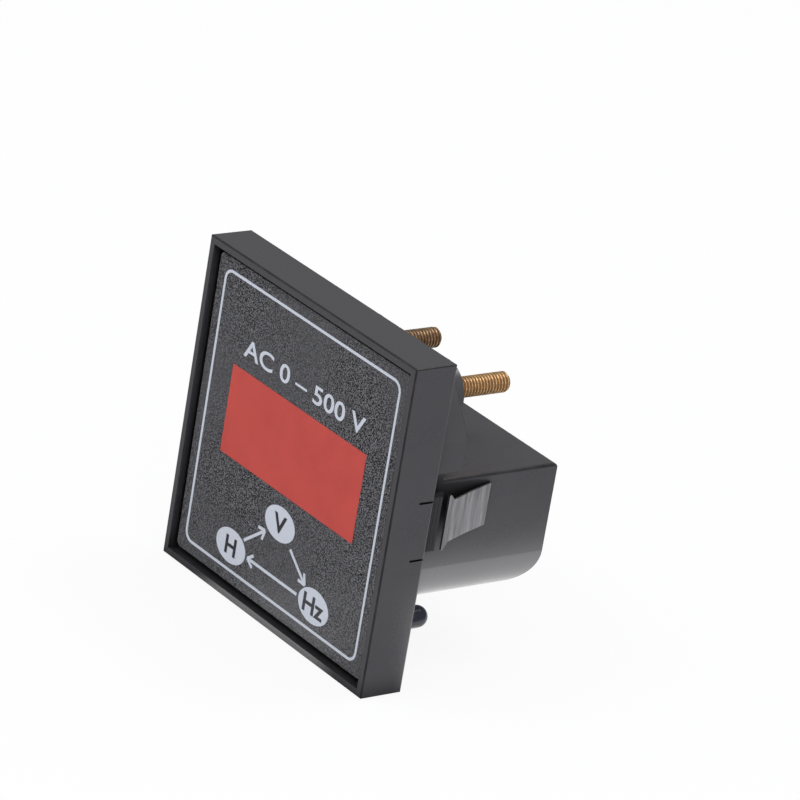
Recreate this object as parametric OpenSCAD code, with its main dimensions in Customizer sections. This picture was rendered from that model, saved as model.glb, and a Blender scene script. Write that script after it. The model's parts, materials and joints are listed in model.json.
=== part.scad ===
// Digital panel meter for a square cut-out, held by two spring clips and wired to two studs.
// X runs to the reader's right, Y back through the panel and Z up.
// The origin is the middle of the bezel's back face, the plane of the panel.

/* [Bezel] */
// Width and height of the square bezel
bezel_size = 65; // [62:0.5:80]
// How far the bezel stands in front of the panel
bezel_depth = 9.2; // [9:0.1:12]
// Thickness of the bezel's walls round the base
bezel_wall = 2.4; // [2:0.1:2.8]
// Radius on the bezel's outer edges
bezel_edge_r = 0.4; // [0.2:0.1:0.8]
// Width of the thin rim round the face
rim_w = 1.5; // [1:0.1:1.8]
// How far the rim stands in front of the face
rim_stand = 1.2; // [0.8:0.1:1.6]
// Width of the gutter between the rim and the face
gutter_w = 1; // [0.6:0.1:1.4]
// Thickness of the ledge that carries the face plate
ledge_t = 1.5; // [1:0.1:1.7]
// How far the ledge reaches in under the face plate
ledge_w = 3; // [1.5:0.5:4]
// Width of the snap tab in each side wall
tab_w = 11.4; // [9:0.2:14]
// Length of the slits that free a snap tab
slit_len = 3.3; // [3.1:0.1:4]
// Width of those slits
slit_w = 0.4; // [0.3:0.1:0.8]

/* [Face] */
// Thickness of the face plate
plate_t = 1.7; // [1.2:0.1:1.9]
// Thickness of the printed front label
label_t = 0.3; // [0.2:0.05:0.4]
// Corner radius of the face plate and label
face_r = 1; // [0.5:0.1:3]
// Width of the display window
window_w = 42.6; // [38:0.2:46]
// Height of the display window
window_h = 17.6; // [15:0.2:20]
// Height of the window's middle above the meter's axis
window_z = 2.15; // [1:0.05:3]
// Gap round the red filter in its opening
filter_gap = 0.05; // [0.02:0.01:0.2]

/* [Print] */
// Thickness of the white ink
ink_t = 0.08; // [0.05:0.01:0.15]
// Distance from the face's edge to the border line
border_inset = 2.15; // [1.5:0.05:4]
// Width of the border line
border_w = 0.55; // [0.3:0.05:1]
// Outer corner radius of the border line
border_r = 2.3; // [1.5:0.1:4]
// Width of an oval sign
oval_w = 9.4; // [7:0.2:11]
// Height of an oval sign
oval_h = 6.7; // [5:0.1:8]
// Height of the upper oval's middle
oval_top_z = -12.3; // [-13:0.1:-11]
// Height of the two lower ovals' middles
oval_low_z = -22.9; // [-24:0.1:-21]
// Distance of a lower oval from the middle
oval_x = 13.45; // [11:0.05:15]
// Width of an arrow's strokes
arrow_w = 0.6; // [0.4:0.05:1]
// Length of each stroke of an arrow's head
arrow_head = 2; // [1.2:0.1:2.6]

/* [Base] */
// Thickness of the base's walls
base_wall = 1.6; // [1.2:0.1:1.7]
// How far the base's floor stands behind the panel plane
spigot_h = 1; // [0.8:0.1:1.6]
// How far the terminal shoulder stands behind the panel plane
shoulder_h = 7.5; // [7.2:0.05:9]
// How far the shoulder's top stays inside the base's edge
shoulder_in = 2.5; // [0:0.1:4]
// Height of the shoulder's lower edge above the axis
shoulder_z = 9.65; // [8:0.05:11]
// Radius of the circle that rounds off the shoulder's corners
shoulder_r = 33.7; // [32:0.1:38]
// Width of the electronics box
box_w = 50.4; // [50:0.2:54]
// Height of the box's top above the axis
box_top = 5.8; // [5:0.1:7]
// Depth of the box's bottom below the axis
box_drop = 20.9; // [19.4:0.1:24]
// How far the box reaches behind the panel plane
box_reach = 34.1; // [33:0.1:45]
// Radius under the box, along its sides and its rear edge
box_low_r = 9; // [7:0.1:10]
// Radius on the box's other edges
box_edge_r = 0.8; // [0.3:0.1:1.4]
// Width of the ridged rail on each side
rail_w = 11.6; // [9:0.2:14]
// Thickness of that rail
rail_t = 2.2; // [1.5:0.1:3]
// How far the rail reaches behind the panel plane
rail_end = 4.1; // [3:0.1:4.2]
// Depth of the rail's ridges
ridge_d = 0.3; // [0.1:0.05:0.5]
// Spacing of the rail's ridges
ridge_pitch = 0.75; // [0.5:0.05:1.2]
// How far a snap wedge stands out of the base's side
latch_h = 0.6; // [0.4:0.05:0.8]
// Width of a snap wedge
latch_w = 6; // [4:0.5:8]
// Gap between parts that slide or snap together
fit_gap = 0.2; // [0.1:0.05:0.25]

/* [Terminals] */
// Distance between the two studs
stud_spacing = 21.5; // [19:0.5:24]
// Height of the studs above the axis
stud_z = 16.5; // [16:0.1:18]
// Thread diameter of the studs
stud_d = 4; // [3:0.5:4]
// How far the studs reach behind the panel plane
stud_reach = 30.5; // [24:0.5:40]
// Chamfer on each end of a stud
stud_chamfer = 0.5; // [0.3:0.1:0.8]
// Diameter of the plain shank where a stud leaves its boss
shank_d = 4.6; // [4.2:0.1:5]
// Length of thread inside the lower nut
stud_inner = 0.45; // [0.2:0.05:0.8]
// Diameter of the moulded boss round a stud
boss_d = 12; // [11:0.5:14]
// How far the bosses reach behind the panel plane
boss_reach = 16.25; // [14:0.05:18]
// Distance across the flats of the nuts and stud collars
nut_af = 7; // [6.5:0.1:7]
// Thickness of a nut
nut_t = 3.2; // [2.4:0.1:3.3]
// Thickness of a lock washer
washer_t = 0.9; // [0.7:0.1:1]
// Thickness of a solder tag
tag_t = 0.5; // [0.4:0.05:0.6]
// Running gap round the studs
stud_gap = 0.03; // [0.02:0.01:0.1]
// Diameter of an insulated lead
lead_d = 1; // [0.8:0.05:1.1]

/* [Clips] */
// Thickness of the spring sheet
clip_t = 0.4; // [0.3:0.05:0.5]
// Width of a clip's leaf
clip_w = 8.4; // [6:0.2:9]
// Width of a clip's flared front edge
clip_head_w = 12; // [10:0.2:14]
// How far a clip's front edge stands out past the base's side
clip_stand = 0.9; // [0.7:0.05:1.3]
// Distance from the panel plane to a clip's front edge
clip_front = 4.9; // [4.9:0.1:5.5]
// Length of the steep lip at the front edge
clip_lip = 1.4; // [1:0.1:2]
// How far the lip comes in over that length
clip_lip_in = 0.5; // [0.2:0.05:0.8]
// Distance from the panel plane to the crease across the leaf
clip_crease = 11.95; // [10:0.05:13]
// How far the crease stands out from the box
clip_crease_out = 2.9; // [2.6:0.1:3.4]
// Distance from the panel plane to the foot in the box's side
clip_foot = 18.2; // [17:0.1:19]
// Width of that foot
clip_foot_w = 6; // [4:0.2:7]
// Gap round the foot in its slot
slot_gap = 0.25; // [0.2:0.01:0.4]

/* [Pegs] */
// Diameter of a locating peg
peg_d = 4.25; // [3.5:0.05:5]
// How far the pegs reach behind the panel plane
peg_reach = 8.1; // [6:0.1:10]
// Distance of each peg's axis from the base's side
peg_inset = 3.9; // [3.6:0.1:5]
// Depth of the pegs below the axis
peg_drop = 21; // [19:0.1:24]
// Diameter of a peg's shank in the floor
peg_shank_d = 3; // [2.4:0.1:3.2]

/* [Electronics] */
// Width of the three-digit display
led_w = 37.7; // [37.7:0.1:38]
// Height of the display's body
led_h = 19; // [18:0.1:19.2]
// Depth of the display's body
led_d = 8; // [7:0.1:8]
// Height of a digit
digit_h = 14.2; // [12:0.1:14.4]
// Width of a digit
digit_w = 7.6; // [6:0.1:8]
// Distance between digits
digit_pitch = 12.7; // [12:0.1:12.7]
// Width of a segment
segment_w = 1.5; // [1:0.1:1.8]
// Thickness of the circuit boards
board_t = 1.6; // [1:0.1:1.6]
// Height of the display board above the axis
board_top = 15.6; // [15:0.1:15.8]
// Gap between a board and the base's walls
board_gap = 0.3; // [0.2:0.05:0.5]
// Gap between the power board and the floor of the box
board_lift = 4.6; // [4.2:0.1:6.8]
// Diameter of the posts that carry the display board
post_d = 4.2; // [3.6:0.1:4.2]
// Diameter of the board screws
screw_d = 2; // [1.6:0.1:2.2]

/* [Hidden] */
$fn = 64;

// the bezel and the face, from the front edge back
bezel_half = bezel_size / 2;
bezel_inner = bezel_half - bezel_wall;
front_y = -bezel_depth;
face_y = front_y + rim_stand;
face_half = bezel_half - rim_w - gutter_w;
plate_front = face_y + label_t;
plate_back = plate_front + plate_t;
ledge_back = plate_back + ledge_t;

// the base, its shoulder and its box
base_half = bezel_inner - fit_gap;
base_front = ledge_back + fit_gap;
base_inner = base_half - base_wall;
box_half = box_w / 2;
box_inner = box_half - base_wall;
floor_front = spigot_h - base_wall;
shoulder_floor = shoulder_h - base_wall;
shoulder_top = base_half - shoulder_in;
latch_front = -3;
latch_back = -1.5;

// the display and its board
led_y = plate_back + 0.1;
board_front = led_y + led_d;
board_back = board_front + board_t;
board_half = box_inner - board_gap;
board_low = -box_drop + base_wall + board_gap;
board_low_r = box_low_r - base_wall;
board_top_r = 1;
post_x = board_half - post_d / 2 - 0.3;
post_z = [board_low + board_low_r, board_top - post_d / 2 - 0.3];
led_pin_d = 0.5;
led_pin_z = 7.62;
pin_pitch = 2.54;
hole_gap = 0.15;

// the power board, which slides into the box between moulded ledges
power_low = -box_drop + base_wall + board_lift;
power_top = power_low + board_t;
round_drop = max(board_low_r - board_lift, 0);
round_in = board_low_r - sqrt(board_low_r * board_low_r - round_drop * round_drop);
power_half = box_inner - round_in - board_gap;
power_front = board_back + 1.6;
power_back = box_reach - base_wall - 1.4;
header_z = power_top + 1.25;
header_y = power_front + 1.6;
header_pins = 6;
ledge_in = 1.4;
ledge_h = 1.5;
ledge_y = [power_front + 0.8, power_back - 3];

// the stack on the inside end of a stud
tag_y = shoulder_floor - tag_t;
washer_y = tag_y - washer_t;
nut_y = washer_y - nut_t;
collar_y = shoulder_floor + 2.5;
collar_t = 3;
tag_reach = 6.3;
lead_x = stud_spacing / 2;
lead_top = stud_z - tag_reach + 1.8;
lead_y = tag_y - lead_d / 2;
lead_foot_y = power_front + 3.3;
lead_bend = [3.4, -6.4];
peg_x = base_half - peg_inset;

// a prism along one axis, on an outline drawn in the other two
module along_x(x0, x1) {
    translate([x0, 0, 0])
        rotate([90, 0, 90])
            linear_extrude(x1 - x0)
                children();
}

module along_y(y0, y1) {
    translate([0, y1, 0])
        rotate([90, 0, 0])
            linear_extrude(y1 - y0)
                children();
}

module along_z(z0, z1) {
    translate([0, 0, z0])
        linear_extrude(z1 - z0)
            children();
}

// a cylinder that points back through the panel
module rod_y(x, z, y0, y1, d) {
    translate([x, y0, z])
        rotate([-90, 0, 0])
            cylinder(h = y1 - y0, d = d);
}

// a rectangle with round corners, about its middle
module rounded(w, h, r) {
    square([w - 2 * r, h], center = true);
    square([w, h - 2 * r], center = true);
    for (x = [-1, 1], y = [-1, 1])
        translate([x * (w / 2 - r), y * (h / 2 - r)])
            circle(r);
}

module both_sides() {
    children();
    mirror([1, 0, 0])
        children();
}

// ---- bezel and face ----

module bezel() {
    color("#38373b")
        difference() {
            intersection() {
                along_y(front_y, 0)
                    rounded(bezel_size, bezel_size, bezel_edge_r);
                along_x(-bezel_half, bezel_half)
                    translate([front_y / 2, 0])
                        rounded(bezel_depth, bezel_size, bezel_edge_r);
                along_z(-bezel_half, bezel_half)
                    translate([0, front_y / 2])
                        rounded(bezel_size, bezel_depth, bezel_edge_r);
            }
            along_y(front_y - 1, plate_back)
                square(2 * (bezel_half - rim_w), center = true);
            along_y(front_y - 1, 1)
                square(2 * (face_half - ledge_w), center = true);
            along_y(ledge_back, 1)
                square(2 * bezel_inner, center = true);
            both_sides() {
                tab_slits();
                latch_pocket();
            }
        }
}

module tab_slits() {
    for (z = [-1, 1])
        translate([bezel_inner - 1, -slit_len, z * tab_w / 2 - slit_w / 2])
            cube([bezel_wall + 2, slit_len + 1, slit_w]);
}

module latch_pocket() {
    translate([bezel_inner - 1, latch_front - fit_gap, -latch_w / 2 - fit_gap])
        cube([1 + latch_h, latch_back - latch_front + 2 * fit_gap, latch_w + 2 * fit_gap]);
}

module window_opening(gap) {
    translate([0, window_z])
        square([window_w + 2 * gap, window_h + 2 * gap], center = true);
}

module face_plate() {
    color("#3b3b40")
        difference() {
            union() {
                along_y(plate_front, plate_back)
                    difference() {
                        rounded(2 * face_half, 2 * face_half, face_r);
                        window_opening(filter_gap);
                    }
                for (x = [-1, 1], z = post_z)
                    rod_y(x * post_x, z, plate_back - 0.5, board_front, post_d);
            }
            for (x = [-1, 1], z = post_z)
                rod_y(x * post_x, z, plate_back + 0.6, board_front + 1, screw_d + 2 * stud_gap);
        }
}

module front_label() {
    color("#45454a")
        along_y(face_y, plate_front)
            difference() {
                rounded(2 * face_half, 2 * face_half, face_r);
                window_opening(filter_gap);
            }
}

module display_filter() {
    color("#b8423a")
        along_y(face_y, plate_back)
            window_opening(0);
}

// ---- print ----

module oval(x, z) {
    polygon([for (i = [0:47])
        [x + oval_w / 2 * cos(i * 7.5), z + oval_h / 2 * sin(i * 7.5)]]);
}

// a line between two points, with square ends
module stroke(from, to) {
    run = to - from;
    translate(from)
        rotate(atan2(run.y, run.x))
            translate([0, -arrow_w / 2])
                square([norm(run), arrow_w]);
}

// an arrow with an open head, which points from one place to another
module arrow(from, to) {
    heading = atan2(to.y - from.y, to.x - from.x);
    stroke(from, to);
    for (turn = [-1, 1])
        stroke(to + arrow_head * [cos(heading + turn * 142), sin(heading + turn * 142)],
               to + arrow_w / 3 * [cos(heading), sin(heading)]);
}

// a point on the way between two ovals, clear of both
function between(a, b, t) = a + t * (b - a);

module label_print() {
    border = 2 * (face_half - border_inset);
    top = [0, oval_top_z];
    low_left = [-oval_x, oval_low_z];
    low_right = [oval_x, oval_low_z];
    color("#d3d8e2")
        along_y(face_y - ink_t, face_y) {
            difference() {
                rounded(border, border, border_r);
                rounded(border - 2 * border_w, border - 2 * border_w, border_r - border_w);
            }
            oval(top.x, top.y);
            oval(low_left.x, low_left.y);
            oval(low_right.x, low_right.y);
            arrow(between(low_left, top, 0.27), between(low_left, top, 0.69));
            arrow(between(top, low_right, 0.31), between(top, low_right, 0.73));
            arrow(between(low_right, low_left, 0.2), between(low_right, low_left, 0.79));
        }
}

// ---- display ----

// outline of one segment, a bar with pointed ends
function bar_points(length) = [
    [-length / 2, 0], [-length / 2 + segment_w / 2, segment_w / 2],
    [length / 2 - segment_w / 2, segment_w / 2], [length / 2, 0],
    [length / 2 - segment_w / 2, -segment_w / 2], [-length / 2 + segment_w / 2, -segment_w / 2]];

// the digits lean to the right
function leaned(p) = [p.x + p.y * tan(8), p.y];

module segment(at, upright) {
    length = (upright ? (digit_h - segment_w) / 2 : digit_w - segment_w) - 0.4;
    polygon([for (p = bar_points(length)) leaned(at + (upright ? [p.y, p.x] : p))]);
}

module digit() {
    side = (digit_w - segment_w) / 2;
    rise = (digit_h - segment_w) / 2;
    for (level = [-1, 0, 1])
        segment([0, level * rise], false);
    for (x = [-1, 1], z = [-1, 1])
        segment([x * side, z * rise / 2], true);
    translate(leaned([side + segment_w + 0.9, -rise]))
        circle(0.8, $fn = 24);
}

module digits() {
    for (place = [-1, 0, 1])
        translate([place * digit_pitch - 0.8, window_z])
            digit();
}

module led_segments() {
    color("#cfc6c2")
        along_y(led_y, led_y + 0.5)
            digits();
}

// the display's pins, in two rows of six
module led_pins(y0, y1, d) {
    for (row = [-1, 1], i = [0:5])
        rod_y((i - 2.5) * pin_pitch, window_z + row * led_pin_z, y0, y1, d);
}

module led_module() {
    color("#2b2b2e") {
        difference() {
            translate([-led_w / 2, led_y, window_z - led_h / 2])
                cube([led_w, led_d, led_h]);
            along_y(led_y - 1, led_y + 0.5)
                digits();
        }
        led_pins(led_y + led_d - 0.5, board_back + 1, led_pin_d);
    }
}

// the board follows the box's round lower corners and is square at the top
module board_outline() {
    height = board_top - board_low;
    translate([0, (board_top + board_low) / 2])
        rounded(2 * board_half, height, board_low_r);
    translate([0, board_top - height / 4])
        rounded(2 * board_half, height / 2, board_top_r);
}

module display_board() {
    color("#2c5a3c")
        difference() {
            along_y(board_front, board_back)
                board_outline();
            for (x = [-1, 1])
                rod_y(x * stud_spacing / 2, stud_z, board_front - 1, board_back + 1, nut_af + 3.4);
            for (x = [-1, 1], z = post_z)
                rod_y(x * post_x, z, board_front - 1, board_back + 1, screw_d + 2 * hole_gap);
            led_pins(board_front - 1, board_back + 1, led_pin_d + 2 * hole_gap);
            for (i = [0:header_pins - 1])
                rod_y(header_x(i), header_z, board_front - 1, board_back + 1, 1.2);
        }
}

module controller_chip() {
    size = [17.8, 2.3, 7.5];
    low = -4.2;
    leg = [0.4, 0.9, 1.6];
    color("#232325") {
        translate([-size.x / 2, board_back + 0.15, low])
            cube(size);
        for (i = [0:13], z = [low - leg.z + 0.2, low + size.z - 0.2])
            translate([(i - 6.5) * pin_pitch / 2 - leg.x / 2, board_back, z])
                cube(leg);
    }
}

module chip_resistors() {
    color("#3d3d40")
        for (i = [0:7])
            translate([(i - 3.5) * 2.4 - 0.625, board_back, -8.6])
                cube([1.25, 0.5, 2]);
}

module board_screws() {
    color("#a9a9ad")
        for (x = [-1, 1], z = post_z) {
            rod_y(x * post_x, z, plate_back + 2, board_back + 0.3, screw_d);
            difference() {
                rod_y(x * post_x, z, board_back, board_back + 1.2, screw_d * 1.9);
                translate([x * post_x - screw_d, board_back + 0.7, z - 0.2])
                    cube([2 * screw_d, 1, 0.4]);
            }
        }
}

function header_x(i) = (i - (header_pins - 1) / 2) * pin_pitch;

// right-angle pins that join the two boards
module board_header() {
    pin = 0.64;
    reach = header_y - board_front + 0.7;
    color("#26262a") {
        translate([header_x(0) - pin_pitch / 2, power_front, power_top])
            cube([header_pins * pin_pitch, header_y - power_front - 0.5, 2.5]);
        for (i = [0:header_pins - 1]) {
            translate([header_x(i) - pin / 2, header_y - reach, header_z - pin / 2])
                cube([pin, reach + pin / 2, pin]);
            translate([header_x(i) - pin / 2, header_y - pin / 2, power_low - 0.7])
                cube([pin, pin, header_z - power_low + 0.7]);
        }
    }
}

// ---- base ----

// the electronics box, drawn smaller by an inset for its inside
module box_form(inset, y0) {
    half = box_half - inset;
    low = -box_drop + inset;
    high = box_top - inset;
    back = box_reach - inset;
    low_r = box_low_r - inset;
    edge_r = max(box_edge_r - inset, 0.1);
    intersection() {
        along_y(y0, back)
            union() {
                translate([-half, low + low_r])
                    square([2 * half, high - low - low_r - edge_r]);
                translate([-half + low_r, low])
                    square([2 * (half - low_r), high - low - edge_r]);
                translate([-half + edge_r, high - 2 * edge_r])
                    square([2 * (half - edge_r), 2 * edge_r]);
                for (x = [-1, 1]) {
                    translate([x * (half - low_r), low + low_r])
                        circle(low_r);
                    translate([x * (half - edge_r), high - edge_r])
                        circle(edge_r);
                }
            }
        along_x(-half, half)
            union() {
                translate([y0, low + low_r])
                    square([back - y0, high - low - low_r - edge_r]);
                translate([y0, low])
                    square([back - low_r - y0, high - low - edge_r]);
                translate([y0, high - 2 * edge_r])
                    square([back - edge_r - y0, 2 * edge_r]);
                translate([back - low_r, low + low_r])
                    circle(low_r);
                translate([back - edge_r, high - edge_r])
                    circle(edge_r);
            }
    }
}

// the raised part that carries the terminals, drawn smaller by an inset
module shoulder_form(inset, y0, y1) {
    half = base_half - inset;
    top = shoulder_top - inset;
    along_y(y0, y1)
        intersection() {
            circle(shoulder_r - inset, $fn = 180);
            union() {
                translate([-half, shoulder_z + inset])
                    square([2 * half, top - shoulder_z - inset]);
                translate([-box_half + inset, box_top - 2])
                    square([2 * (box_half - inset), top - box_top + 2]);
            }
        }
}

// the ridged rail beside each clip
module side_rail() {
    ridges = floor((rail_end - spigot_h) / ridge_pitch);
    along_z(-rail_w / 2, rail_w / 2)
        polygon(concat(
            [[base_half - rail_t, spigot_h - 0.5], [base_half, spigot_h - 0.5]],
            [for (i = [0:ridges - 1], step = [0, 1])
                [base_half - ridge_d * step, spigot_h + ridge_pitch * (i + 0.1 + step * 0.45)]],
            [[base_half, spigot_h + ridge_pitch * (ridges + 0.05)], [base_half, rail_end],
             [base_half - rail_t, rail_end]]));
}

module snap_wedge() {
    along_z(-latch_w / 2, latch_w / 2)
        polygon([
            [base_half - 0.5, latch_front], [base_half, latch_front],
            [base_half + latch_h, latch_back - 0.5], [base_half + latch_h, latch_back],
            [base_half - 0.5, latch_back]]);
}

// a ledge below and a rib above each side edge of the power board
module board_ledges() {
    for (z = [power_low - ledge_h, power_top + fit_gap])
        translate([power_half - ledge_in, ledge_y[0], z])
            cube([2 * ledge_in + round_in, ledge_y[1] - ledge_y[0], ledge_h]);
}

module clip_slot() {
    translate([box_inner - 1, clip_foot - slot_gap, -clip_foot_w / 2 - slot_gap])
        cube([base_wall + 2, clip_t + 2 * slot_gap, clip_foot_w + 2 * slot_gap]);
}

module stud_hole() {
    rod_y(0, 0, shoulder_floor - 1, collar_y + 1, stud_d + 2 * stud_gap);
    rod_y(0, 0, collar_y + 1, boss_reach + 1, shank_d + 2 * stud_gap);
    translate([0, collar_y - stud_gap, 0])
        rotate([-90, 0, 0])
            cylinder(h = collar_t + 2 * stud_gap, d = nut_af / cos(30) + 2 * stud_gap, $fn = 6);
}

module base() {
    color("#353438")
        difference() {
            union() {
                along_y(base_front, spigot_h)
                    rounded(2 * base_half, 2 * base_half, 1);
                shoulder_form(0, 0, shoulder_h);
                box_form(0, 0);
                for (x = [-1, 1])
                    rod_y(x * stud_spacing / 2, stud_z, shoulder_floor, boss_reach, boss_d);
                both_sides() {
                    side_rail();
                    snap_wedge();
                }
            }
            difference() {
                union() {
                    along_y(base_front - 1, floor_front)
                        rounded(2 * base_inner, 2 * base_inner, 1);
                    shoulder_form(base_wall, floor_front - 1, shoulder_floor);
                    box_form(base_wall, floor_front - 1);
                }
                both_sides()
                    board_ledges();
            }
            for (x = [-1, 1])
                translate([x * stud_spacing / 2, 0, stud_z])
                    stud_hole();
            both_sides() {
                clip_slot();
                rod_y(peg_x, -peg_drop, floor_front - 1, spigot_h + 1, peg_shank_d + 2 * stud_gap);
            }
        }
}

// ---- power board ----

module power_board() {
    color("#2c5a3c")
        difference() {
            translate([-power_half, power_front, power_low])
                cube([2 * power_half, power_back - power_front, board_t]);
            for (i = [0:header_pins - 1])
                translate([header_x(i), header_y, power_low - 1])
                    cylinder(h = board_t + 2, d = 1.2);
        }
}

// the transformer stands a little behind the board's middle
transformer_at = [0, (power_front + power_back) / 2 + 3.8];
core_w = 16;
core_t = 4.8;
core_h = 12;
core_leg = 4;
core_side = 1.9;
core_end = 2;
core_lift = 1.2;

module transformer_core() {
    window = (core_w - core_leg) / 2 - core_side;
    color("#4a4a4e")
        translate([transformer_at.x, transformer_at.y, power_top + core_lift])
            difference() {
                translate([-core_w / 2, -core_t / 2, 0])
                    cube([core_w, core_t, core_h]);
                for (x = [-1, 1])
                    translate([x * (core_leg + window) / 2 - window / 2, -core_t, core_end])
                        cube([window, 2 * core_t, core_h - 2 * core_end]);
            }
}

module transformer_bobbin() {
    window_top = core_h - 2 * core_end;
    flange = 0.7;
    width = core_w - 2 * core_side - 0.4;
    sleeve = core_leg + 1.6;
    color("#1f1f21")
        translate([transformer_at.x, transformer_at.y, power_top]) {
            difference() {
                union() {
                    for (z = [0.1, window_top - flange - 0.1])
                        translate([-width / 2, -6, core_lift + core_end + z])
                            cube([width, 12, flange]);
                    translate([-sleeve / 2, -core_t / 2 - 0.8, core_lift + core_end + 0.1])
                        cube([sleeve, core_t + 1.6, window_top - 0.2]);
                }
                translate([-core_leg / 2 - 0.1, -core_t / 2 - 0.1, 0])
                    cube([core_leg + 0.2, core_t + 0.2, core_h + core_lift]);
            }
            for (y = [-6, 4])
                translate([-width / 2, y, 0])
                    cube([width, 2, core_lift + core_end + 0.3]);
        }
}

module transformer_winding() {
    low = core_lift + core_end + 0.8;
    height = core_h - 2 * core_end - 1.6;
    color("#c8a23a")
        translate([transformer_at.x, transformer_at.y, power_top + low])
            linear_extrude(height)
                difference() {
                    rounded(core_w - 2 * core_side - 1, 11, 1.5);
                    square([core_leg + 1.7, core_t + 1.7], center = true);
                }
}

// an upright electrolytic can with a rolled groove and a rubber bung
module can(at, d, h) {
    translate([at.x, at.y, power_top])
        rotate_extrude()
            polygon([[0, 0], [d / 2 - 0.6, 0], [d / 2 - 0.6, 0.3], [d / 2, 0.3], [d / 2, 1.6],
                [d / 2 - 0.4, 2], [d / 2, 2.4], [d / 2, h - 0.4], [d / 2 - 0.4, h], [0, h]]);
}

// each part's place is measured from the nearest edges of the power board
module bulk_capacitor() {
    d = 10;
    color("#26262e")
        can([-power_half + d / 2 + 2.2, power_back - d / 2 - 0.8], d, 13);
}

module output_capacitor() {
    d = 8;
    color("#26344a")
        can([-power_half + d / 2 + 2.7, power_front + d / 2 + 2.9], d, 11.5);
}

module film_capacitor() {
    size = [12.5, 6, 12];
    color("#c9b23c")
        translate([power_half - size.x / 2 - 1.6, power_back - size.y / 2 - 0.8, power_top + size.z / 2])
            along_y(-size.y / 2, size.y / 2)
                rounded(size.x, size.z, 0.6);
}

module bridge_rectifier() {
    size = [8.4, 5.6, 3.2];
    pin = [1.2, 0.8, 1.9];
    stand = 0.5;
    color("#232325")
        translate([power_half - size.x / 2 - 4, power_front + 11.5, power_top]) {
            translate([-size.x / 2, -size.y / 2, stand])
                cube(size);
            for (x = [-1, 1] * pin_pitch, y = [-1, 1] * (size.y / 2 + pin.y / 4))
                translate([x - pin.x / 2, y - pin.y / 2, 0])
                    cube(pin);
        }
}

module fuse_resistor() {
    d = 3.2;
    length = 9;
    wire_d = 0.6;
    wire_x = length / 2 + 1.1;
    axis = d / 2 + 0.4;
    color("#9c4a3a")
        translate([power_half - wire_x - 2.2, power_front + d / 2 + 4.6, power_top]) {
            translate([-length / 2, 0, axis])
                rotate([0, 90, 0])
                    cylinder(h = length, d = d);
            translate([-wire_x, 0, axis])
                rotate([0, 90, 0])
                    cylinder(h = 2 * wire_x, d = wire_d, $fn = 24);
            for (x = [-1, 1] * wire_x)
                translate([x, 0, 0])
                    cylinder(h = axis + wire_d / 2, d = wire_d, $fn = 24);
        }
}

module varistor() {
    d = 7.4;
    thickness = 3.2;
    wire_x = 2;
    color("#2f5e8c")
        translate([stud_spacing / 2 - d / 2 - 2.7, power_front + thickness / 2 + 4.4, power_top]) {
            translate([0, 0, d / 2 + 1.3])
                rotate([90, 0, 0])
                    cylinder(h = thickness, d = d, center = true);
            for (x = [-1, 1] * wire_x)
                translate([x, 0, 0])
                    cylinder(h = 3, d = 0.6, $fn = 24);
        }
}

// ---- terminals ----

module terminal_stud() {
    low = nut_y - stud_inner;
    r = stud_d / 2;
    color("#c08a48")
        translate([stud_spacing / 2, 0, stud_z])
            rotate([-90, 0, 0]) {
                rotate_extrude()
                    polygon([[0, low], [r - stud_chamfer, low], [r, low + stud_chamfer],
                        [r, collar_y + 1], [shank_d / 2, collar_y + 1],
                        [shank_d / 2, boss_reach], [r, boss_reach],
                        [r, stud_reach - stud_chamfer], [r - stud_chamfer, stud_reach],
                        [0, stud_reach]]);
                translate([0, 0, collar_y])
                    cylinder(h = collar_t, d = nut_af / cos(30), $fn = 6);
            }
}

module right_stud() {
    terminal_stud();
}

module left_stud() {
    mirror([1, 0, 0])
        terminal_stud();
}

module ring(y0, y1, outer) {
    difference() {
        rod_y(0, 0, y0, y1, outer);
        rod_y(0, 0, y0 - 1, y1 + 1, stud_d + 2 * stud_gap);
    }
}

module stud_nuts() {
    color("#b9b9bd")
        for (x = [-1, 1])
            translate([x * stud_spacing / 2, 0, stud_z])
                difference() {
                    translate([0, nut_y, 0])
                        rotate([-90, 0, 0])
                            cylinder(h = nut_t, d = nut_af / cos(30), $fn = 6);
                    rod_y(0, 0, nut_y - 1, nut_y + nut_t + 1, stud_d + 2 * stud_gap);
                }
}

module lock_washers() {
    color("#b9b9bd")
        for (x = [-1, 1])
            translate([x * stud_spacing / 2, 0, stud_z])
                difference() {
                    ring(washer_y, washer_y + washer_t, nut_af + 0.4);
                    translate([0, washer_y - 1, -0.25])
                        cube([nut_af, washer_t + 2, 0.5]);
                }
}

module solder_tags() {
    color("#cfcfd2")
        for (x = [-1, 1])
            translate([x * stud_spacing / 2, 0, stud_z]) {
                ring(tag_y, tag_y + tag_t, nut_af + 1);
                translate([-1.5, tag_y, -tag_reach])
                    cube([3, tag_t, tag_reach - stud_d / 2 - 0.6]);
            }
}

// the lead drops from its tag and sways back to the power board
function lead_t(z) = min(max((lead_bend[0] - z) / (lead_bend[0] - lead_bend[1]), 0), 1);
function lead_path(z) = lead_y + (lead_foot_y - lead_y) * (1 - cos(180 * lead_t(z))) / 2;

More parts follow.
